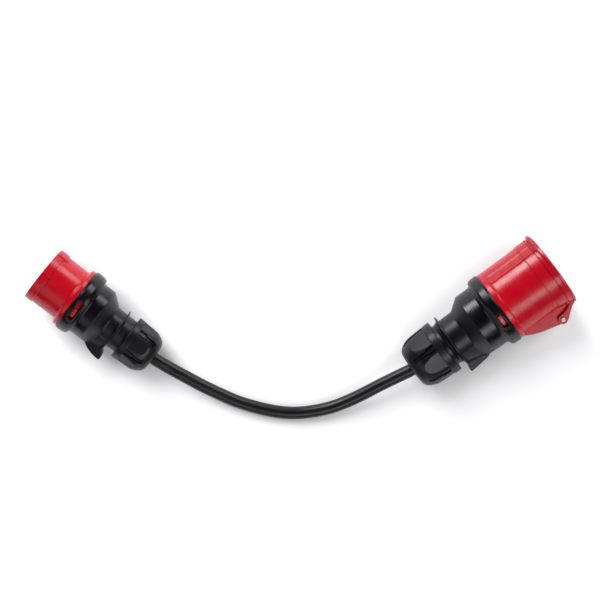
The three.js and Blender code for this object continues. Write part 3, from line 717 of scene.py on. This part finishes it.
def ridge_height(clock):
    """The raised ridge over the keyway: two steps, each with a crease at its foot, and a crown."""
    away = 95 - np.abs(turn_between(clock, 95))
    creases = 0.3 * band(away, 42.6, 43.6, 0.8) + 0.4 * band(away, 56.0, 57.8, 1.0)
    steps = 0.6 * smoothstep(away, 44.0, 45.8) + 0.95 * smoothstep(away, 58.2, 63.6)
    return steps + 0.4 * smoothstep(away, 63, 72) - creases


def connector_front_shape(radius, along, clock):
    """The keyway ridge, and the latch's pocket in the spigot."""
    outside = smoothstep(radius, 34.6, 35.1)
    fade = band(along, 5, 62, 0.9)
    flange = smoothstep(along, 56.5, 57.5)
    pocket = band(along, 66.5, 80, 0.2) * band(turn_between(clock, -14.5), -13, 10, 0.5)
    ridge = ridge_height(clock) * fade * outside
    raised = np.where(flange > 0, np.maximum(radius, 35.4 + ridge), radius + ridge)
    sunk = radius - POCKET_DEPTH * pocket * smoothstep(radius, 34, 34.3)
    return np.where(along < 63, raised, sunk), along


gusset_outline = spline(
    [(33, 57.5), (36.4, 60.6), (38.9, 57.6), (42.6, 50), (45.5, 41), (47.6, 32.5),
     (HINGE_R + 3.4, HINGE_Y + 5.4), (HINGE_R + 4.7, HINGE_Y + 1.6), (HINGE_R + 4.5, HINGE_Y - 1.8),
     (HINGE_R + 2.8, HINGE_Y - 4.2), (HINGE_R, HINGE_Y - 5), (HINGE_R - 3.2, HINGE_Y - 5.6),
     (41.0, 12.0), (39.4, 8.8), (37.0, 7.2), (34, 8.0), (32, 24), (31, 40)], 150, closed=True)

shell_body = revolve(
    refine(rounded([
        (33.0, 3.0, 0.3), (33.9, 3.0, 0.3), (33.9, 6.4), (36.4, 6.4, 0.4), (36.4, 17.15, 0.25),
        (35.5, 17.3, 0.1), (35.4, 17.75, 0.1), (35.75, 17.9, 0.1), (35.4, 30), (35.4, 55.8),
        (35.7, 57.6, 0.8), (37.2, 58.6, 0.5), (37.6, 63.2, 0.5), (34.4, 63.2), (34.4, 73.2, 0.4),
        (31.4, 73.2, 0.3), (31.4, 50), (33.0, 50)]),
        [(5.8, 19.5, 0.3), (19.5, 57, 2.5), (57, 60, 0.25), (65.8, 73.3, 0.3)]),
    clocks(step=1.5, edges=KEYWAY_EDGES + [-27.5, -4.5], half=3.0, fine=0.3), connector_front_shape)
leaves = [plate(gusset_outline, low, high, 0.5) for low, high in ((-8.0, -5.3), (5.3, 8.0))]
web_outline = spline([(33, 57.5), (36.0, 60.0), (38.0, 57.4), (41.0, 50), (43.8, 41), (45.6, 33.5),
                      (44.6, 29.8), (40.0, 29.5), (33, 29.5)], 90, closed=True)
leaves.append(plate(web_outline, -6.4, 6.4, 0.4))
shell = merged([shell_body] + [(at_clock(p, HINGE), f) for p, f in leaves])
piece_of(add_mesh("connector_shell_body", *shell, CONNECTOR, RED), "connector_front", "red_plastic",
         "connector_shell")

carrier_top = revolve(
    rounded([(0, 11), (26.5, 11, 0.7), (27.3, 11.8, 0.5), (27.3, 46, 0.4), (32.7, 46, 0.4), (32.7, 49.7),
             (0, 49.7)]),
    clocks(3))
carrier = add_mesh("connector_carrier_block", *carrier_top, CONNECTOR, GREY)
holes = []
for i, pole in enumerate(POLES):
    for radius, low, high in ((SLEEVE_BORES[pole] + 0.1, 9, 15), (SLEEVE_BORES[pole] + 1.8, 13, 60)):
        hole = moved(round_bar(radius, low, high, 0), CONNECTOR_POLE_CIRCLE, connector_poles[i])
        holes.append(add_mesh("cutter", *hole, CONNECTOR, GREY))
cut_away(carrier, holes)
piece_of(carrier, "connector_front", "grey_plastic", "connector_contact_carrier")

for i, pole in enumerate(POLES):
    bore = SLEEVE_BORES[pole]
    sleeve = revolve(rounded([(bore, 13.6, 0.3), (bore + 1.4, 13.3, 0.3), (bore + 1.5, 14.4),
                              (bore + 1.5, 68, 0.4), (0, 68), (0, 44), (bore, 44)]), CONTACT_CLOCKS)
    sleeve = moved(sleeve, CONNECTOR_POLE_CIRCLE, connector_poles[i])
    sleeve = add_mesh(f"connector_contact_sleeve_{pole}", *sleeve, CONNECTOR, BRASS)
    piece_of(sleeve, "connector_front", "brass", f"connector_sleeve_{pole}")
    keep_cad(f"connector_terminal_screw_{pole}", STEEL)
    keep_cad(f"connector_core_{pole}", CORES[pole])


def lid_shape(radius, along, clock):
    """The finger lip opposite the hinge, with a recess behind it, and the ridge on the skirt."""
    away = np.abs(turn_between(clock, HINGE + 180))
    tip = (1 - smoothstep(away, 8, 17)) * smoothstep(radius, 37.6, 39.2)
    curl = (1 - smoothstep(away, 22, 66)) * band(along, 0.6, 2.2, 0.6) * smoothstep(radius, 36.9, 38.0)
    skirt = band(along, 2.2, 9, 0.8) * smoothstep(radius, 35.8, 36.4)
    recess = (1 - smoothstep(away, 24, 46)) * band(along, 2.4, 4.0, 0.9) * smoothstep(radius, 35.8, 36.4)
    return radius + 1.3 * tip - 1.3 * recess + ridge_height(clock) * skirt, along + 0.5 * tip + 1.7 * curl


ear_outline = spline(
    [(34.5, 1.4), (37.6, 1.6), (40.2, 6.0), (43.6, 10.2), (46.6, 13.6), (49.2, 17.0),
     (HINGE_R + 4.8, HINGE_Y), (HINGE_R + 3.6, HINGE_Y + 3.4), (HINGE_R, HINGE_Y + 4.8),
     (HINGE_R - 3.5, HINGE_Y + 3.3), (HINGE_R - 4.8, HINGE_Y - 0.4), (HINGE_R - 5.4, 16.0), (38.8, 11.6),
     (37.2, 8.4), (35.4, 5.8)],
    130, closed=True)
cap = revolve(
    refine(rounded([
        (0, -2.2), (17.0, -2.0, 2), (17.8, -2.5, 0.5), (19.6, -2.5, 0.5), (20.4, -2.0, 2),
        (37.0, -1.4, 2), (39.3, -0.6, 0.5), (39.3, 1.2, 0.4), (37.3, 1.7, 0.5), (37.0, 3.2, 1),
        (36.8, 6.1, 0.3), (35.1, 6.1, 0.3), (35.1, 1.4), (0, 1.4)]), [(-1.6, 6.2, 0.3)]),
    clocks(step=1.5, edges=KEYWAY_EDGES, half=3.0, fine=0.3), lid_shape)
ears = [plate(ear_outline, low, high, 0.5) for low, high in ((-11.4, -8.35), (8.35, 11.4))]
lid = merged([cap] + [(at_clock(p, HINGE), f) for p, f in ears])
piece_of(add_mesh("connector_lid_cap", *lid, CONNECTOR, RED),
         "connector_lid", "red_plastic", "connector_lid")

gasket = turned("connector_lid_gasket_ring",
                [(30.5, 1.7, 0.25), (34.7, 1.7, 0.25), (34.7, 2.7, 0.25), (30.5, 2.7, 0.25)],
                CONNECTOR, SEAL)
piece_of(gasket, "connector_lid", "seal_rubber", "connector_lid_gasket")
rod = [across_bar(1.6, -12, 12, HINGE_R, HINGE_Y, HINGE, 0.5)]
rod += [across_bar(2.4, low, low + 1.1, HINGE_R, HINGE_Y, HINGE, 0.75) for low in (-12.6, 11.5)]
pin = add_mesh("connector_hinge_rod", *merged(rod), CONNECTOR, STEEL)
piece_of(pin, "connector_front", "steel", "connector_hinge_pin")

COIL_TURNS = 3
COIL_RADIUS = 2.9
COIL_LENGTH = 4.8
WIRE_RADIUS = 0.45
coil = []
for t in np.linspace(0, 1, 160):
    a = COIL_TURNS * 2 * math.pi * t
    coil.append((HINGE_R + COIL_RADIUS * math.cos(a), HINGE_Y + COIL_RADIUS * math.sin(a),
                 COIL_LENGTH * (t - 0.5)))
leg = [(HINGE_R - 6.8, HINGE_Y + 3.8, -2.4), (HINGE_R - 4.3, HINGE_Y + 2.5, -2.4)]
foot = [(HINGE_R - 4.3, HINGE_Y - 4.7, 2.4), (HINGE_R - 6.8, HINGE_Y - 6.8, 2.4)]
coil = np.vstack([leg, coil, foot])
coil = spline(coil, 220)
# eight steps are trimmed off the end of each leg
wire_points, wire_faces = tube(coil[8:-8], WIRE_RADIUS)
spring = add_mesh("connector_lid_spring_coil", at_clock(wire_points, HINGE), wire_faces, CONNECTOR, STEEL)
piece_of(spring, "connector_front", "steel", "connector_lid_spring")

tab = latch_piece("connector_latch_tab_cover", CONNECTOR, inner=33.4, outer=35.6, middle=CONNECTOR_TWIST_Y,
                  half=2.1, first=-24, last=-5)
piece_of(tab, "connector_latch_tab", "red_plastic", "connector_latch")
CONNECTOR_COLLAR = 38.2
CONNECTOR_WINDOW = (CONNECTOR_TWIST_Y, 2.5, -27, -2.5, CONNECTOR_COLLAR)
LOCK_MARK = -33
connector_window = window_distance(*CONNECTOR_WINDOW)
connector_flare = fin_flare(CONNECTOR_FIN_CLOCK, [(92.5, 0), (95, 2.0), (99, 4.8), (104, 6.6),
                                                  (108.5, 6.6), (114, 5.6), (120.6, 4.4), (122, 0)])


def connector_collar(radius, along, clock):
    """The window's rim, the lock mark (a dot in an open bow), the thread, and the fin's swell."""
    outside = smoothstep(radius, 36.6, 37.0)
    lip, chamfer = window_rim(connector_window(along, clock), outside)
    arc = np.radians(turn_between(clock, LOCK_MARK)) * CONNECTOR_COLLAR
    from_mark = np.hypot(arc, along - CONNECTOR_TWIST_Y)
    dot = 0.9 * (1 - smoothstep(from_mark, 1.1, 1.4)) * outside
    opening = np.abs(np.degrees(np.arctan2(along - CONNECTOR_TWIST_Y, arc)))
    bow = 0.9 * band(from_mark, 2.4, 3.1, 0.25) * smoothstep(opening, 45, 60) * outside
    ribs = thread(along, clock, 131, 145) * smoothstep(radius, 21.0, 21.2)
    swell = connector_flare(along, clock) * smoothstep(radius, 21.4, 22.6)
    return radius - chamfer + lip + dot + bow + ribs + swell, along


CONNECTOR_FIN = rounded(
    [(20, 99), (31.6, 96.0, 3), (33.8, 101.5, 10), (34.9, 110, 20), (35.8, 118, 14), (36.2, 122.8, 0.5),
     (33.4, 123.3, 3), (29.4, 122.7, 3), (26.4, 121.2, 2), (20, 121.2)], step=8)
housing = housing_parts(
    [(36.0, 63.5), (37.8, 63.5, 0.5), (38.6, 65.2, 1.6), (38.6, 66.4, 3), (38.3, 72.2, 4),
     (37.5, 74.0, 0.8), (36.4, 75.2, 0.6), (33.8, 76.0, 0.7), (32.9, 78.0, 1.0), (32.9, 92.2, 0.8),
     (23.6, 105.0, 3), (23.4, 120.2, 0.5), (28.8, 120.6, 0.4), (28.8, 121.7, 0.4), (24.4, 122.6, 2.0),
     (22.7, 126.5, 2.0), (22.7, 130, 0.3), (21.8, 131), (21.8, 146, 0.8), (19.8, 146, 0.3),
     (19.8, 107.1), (30.4, 93.1), (30.4, 74.2), (36.0, 74.2)],
    CONNECTOR_FIN, CONNECTOR_FIN_CLOCK, [(64.5, 74, 0.25), (92, 122.5, 0.7), (130, 146, 0.3)],
    window_edges(CONNECTOR_WINDOW) + [LOCK_MARK + d for d in (-4.0, -2.0, 0, 2.0, 4.0)], connector_collar)
housing = add_mesh("connector_rear_housing_shell", *housing, CONNECTOR, BLACK)
cut_away(housing, [window_tool(CONNECTOR, *CONNECTOR_WINDOW, low=35, high=41)])
housing = roughen(housing, CONNECTOR, start=91.5)
piece_of(housing, "root", "black_plastic", "connector_rear_housing")

NUT_C = dict(front=129.6, rim_length=7.2, taper=157, rear=168.8, apothem=26.7)
NUT_C_PANEL = -15
nut = turned("connector_gland_nut_cap", nut_corners(rim=28.5, bore=23.3, mouth=7.2, **NUT_C),
             CONNECTOR, BLACK, zones=[(137.0, 164, 0.35)], edges=nut_edges(NUT_C_PANEL, NUT_C["apothem"]),
             half=0.8, fine=0.2, step=1.0, shape=nut_shape(panel=NUT_C_PANEL, **NUT_C))
piece_of(roughen(nut, CONNECTOR, start=110), "connector_nut", "black_plastic", "connector_gland_nut")

for end in ("plug", "connector"):
    keep_cad(f"{end}_front_seal", SEAL)
    keep_cad(f"{end}_cable_grommet", SEAL)
    keep_cad(f"{end}_clamp_cage", GREY)
    keep_cad(f"{end}_jacket_tail", JACKET)

# ------------------------------------------------------------------ cable

CABLE_RADIUS = 0.0065
ROUTE_MM = [
    (-147.7, -46.54, 21.14), (-145.35, -48.4, 20.73), (-137.0, -53.7, 19.2), (-129.1, -58.4, 17.5),
    (-113.2, -67.4, 14.8), (-97.2, -76.2, 12.3), (-81.1, -84.1, 9.9), (-64.9, -91.3, 8.1),
    (-48.7, -96.6, 7.0), (-32.4, -100.7, 6.6), (-16.0, -103.2, 6.6), (0.3, -103.4, 6.8),
    (16.6, -101.3, 7.6), (32.9, -97.4, 9.2), (49.1, -91.0, 11.8), (65.1, -83.1, 15.0),
    (81.2, -74.3, 18.6), (97.4, -66.0, 22.2), (105.1, -62.1, 23.8), (111.05, -59.14, 25.0),
    (113.44, -57.37, 25.38),
]
route = spline(np.array(ROUTE_MM) / 1000, 140)
curve = bpy.data.curves.new("cable", "CURVE")
curve.dimensions = "3D"
line = curve.splines.new("POLY")
line.points.add(len(route) - 1)
for point, place in zip(line.points, route):
    point.co = (*place, 1)
curve.bevel_depth = CABLE_RADIUS
curve.bevel_resolution = 12
curve.use_fill_caps = True
curve.materials.append(JACKET)
cable = bpy.data.objects.new("cable_outer_jacket", curve)
scene.collection.objects.link(cable)
line.use_smooth = True
piece_of(cable, "root", "cable_rubber", "cable_jacket")

# ------------------------------------------------------------------ floor and light

floor_mesh = bpy.data.meshes.new("floor")
floor_mesh.from_pydata([(-6, -6, 0), (6, -6, 0), (6, 6, 0), (-6, 6, 0)], [], [(0, 1, 2, 3)])
FLOOR_ALBEDO = (0.30, 0.30, 0.31, 1)
FLOOR_GLOW = 0.15
FLOOR_OPEN_GLOW = 0.42
# the glow that camera rays see is dimmed near the pieces by ambient occlusion: a painted contact shadow on
# the floor
FLOOR_PAINTED_SHADOW_GLOW = 0.14
FLOOR_PAINTED_SHADOW_REACH = 0.04
FLOOR_PAINTED_SHADOW_FROM, FLOOR_PAINTED_SHADOW_TO = 0.55, 0.90
paper = bpy.data.materials.new("paper")
paper.use_nodes = True
paper_nodes, paper_links = paper.node_tree.nodes, paper.node_tree.links
paper_surface = paper_nodes["Principled BSDF"]
paper_surface.inputs["Base Color"].default_value = FLOOR_ALBEDO
paper_surface.inputs["Roughness"].default_value = 0.9
paper_surface.inputs["Specular IOR Level"].default_value = 0.1
paper_surface.inputs["Emission Color"].default_value = (1, 1, 1, 1)
seen = paper_nodes.new("ShaderNodeLightPath")
glow = paper_nodes.new("ShaderNodeMapRange")
glow.inputs["To Min"].default_value = FLOOR_GLOW
# painted contact shadow: ambient occlusion near the pieces lowers the floor's glow for camera rays, other
# rays see the even glow
contact = paper_nodes.new("ShaderNodeAmbientOcclusion")
contact.inputs["Distance"].default_value = FLOOR_PAINTED_SHADOW_REACH
open_floor = paper_nodes.new("ShaderNodeMapRange")
open_floor.inputs["From Min"].default_value = FLOOR_PAINTED_SHADOW_FROM
open_floor.inputs["From Max"].default_value = FLOOR_PAINTED_SHADOW_TO
open_floor.inputs["To Min"].default_value = FLOOR_PAINTED_SHADOW_GLOW
open_floor.inputs["To Max"].default_value = FLOOR_OPEN_GLOW
paper_links.new(contact.outputs["AO"], open_floor.inputs["Value"])
paper_links.new(open_floor.outputs["Result"], glow.inputs["To Max"])
paper_links.new(seen.outputs["Is Camera Ray"], glow.inputs["Value"])
paper_links.new(glow.outputs["Result"], paper_surface.inputs["Emission Strength"])
floor_mesh.materials.append(paper)
floor = bpy.data.objects.new("floor", floor_mesh)
floor.location.z = -0.0004
scene.collection.objects.link(floor)


def softbox(name, place, aim, width, height, brightness):
    """A rectangular lamp whose face has the given brightness."""
    light = bpy.data.lights.new(name, "AREA")
    light.shape = "RECTANGLE"
    light.size, light.size_y = width, height
    light.energy = math.pi * width * height * brightness
    lamp = bpy.data.objects.new(name, light)
    lamp.location = place
    direction = Vector(aim) - Vector(place)
    lamp.rotation_mode = "QUATERNION"
    lamp.rotation_quaternion = direction.to_track_quat("-Z", "Y")
    scene.collection.objects.link(lamp)
    return lamp


# name, centre, width, height, brightness of its face
for name, place, width, height, brightness in (
    ("north_west", (-0.78, 1.30, 0.76), 0.60, 0.70, 13.0),
    ("north_east", (0.85, 1.30, 0.70), 1.00, 0.70, 4.9),
    ("south_east", (0.78, -1.00, 1.55), 2.20, 0.70, 4.3),
    ("south_west", (-0.80, -1.00, 1.10), 1.80, 0.90, 0.7),
):
    softbox(name, place, (0, 0, 0.03), width, height, brightness)
# the floor's own light, which falls on nothing else and gives the soft shadow to the south-east
floor_light = softbox("floor_light", (-1.30, 1.64, 2.16), (0, 0, 0), 1.80, 1.80, 21)
floor_only = bpy.data.collections.new("floor_only")
floor_only.objects.link(floor)
floor_light.light_linking.receiver_collection = floor_only
world = bpy.data.worlds.new("world")
world.use_nodes = True
world.node_tree.nodes["Background"].inputs["Color"].default_value = (0.95, 0.97, 1.0, 1)
world.node_tree.nodes["Background"].inputs["Strength"].default_value = 0.03
scene.world = world
scene.view_settings.view_transform = "Standard"
